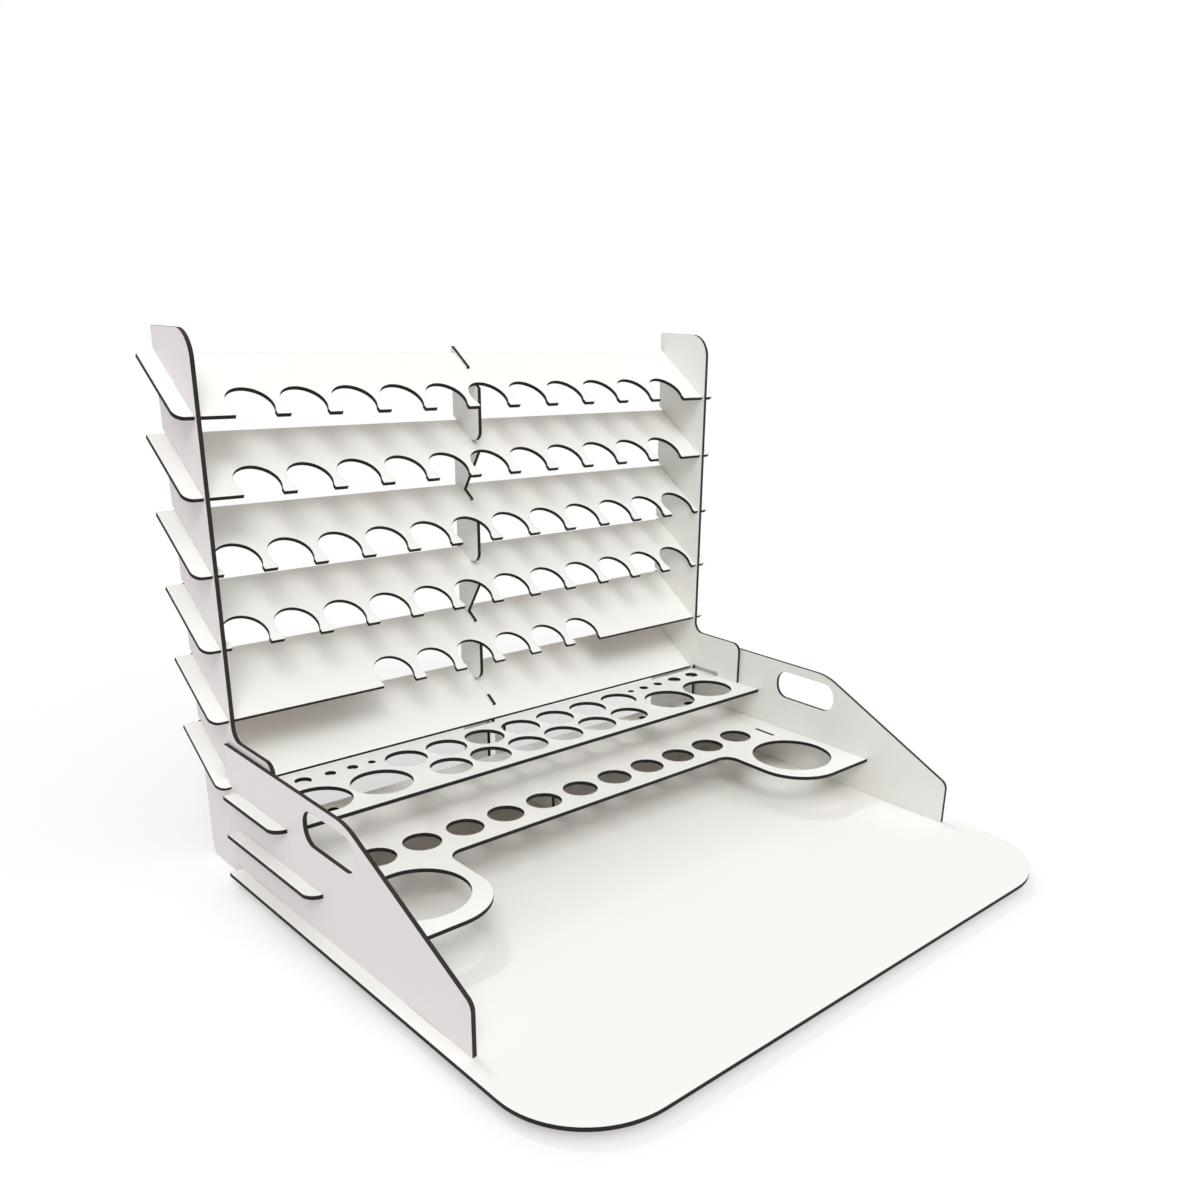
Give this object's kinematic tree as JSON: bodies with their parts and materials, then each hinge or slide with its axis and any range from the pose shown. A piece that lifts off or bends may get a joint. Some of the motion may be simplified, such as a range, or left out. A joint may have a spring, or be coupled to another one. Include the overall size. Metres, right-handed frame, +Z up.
{
  "type": "hobby workstation organizer",
  "caption": "Desk-top paint rack: sloping notched bottle shelves behind a work board, with hole trays for pots, brushes and water cups between low side panels, slotted together from flat board.",
  "frame": {"origin": "middle of the footprint, on the surface that the organizer stands on", "axes": "+X to the user's right, +Y from the user towards the rack, +Z up"},
  "size_m": [0.5, 0.46, 0.392],
  "materials": {
    "white_board": "white laminated fibreboard, matt, with dark laser-cut edges"
  },
  "bodies": {
    "root": {"base_board": "white_board", "centre_rib_bottom": "white_board", "centre_rib_middle": "white_board", "centre_rib_top": "white_board", "front_tray": "white_board", "hole_tray": "white_board", "low_panel_left": "white_board", "low_panel_right": "white_board", "rack_centre_foot": "white_board", "shelf_1": "white_board", "shelf_2": "white_board", "shelf_3": "white_board", "shelf_4": "white_board", "shelf_5": "white_board", "shelf_6": "white_board", "tall_panel_left": "white_board", "tall_panel_right": "white_board", "tray_centre_rib": "white_board"}
  },
  "joints": []
}
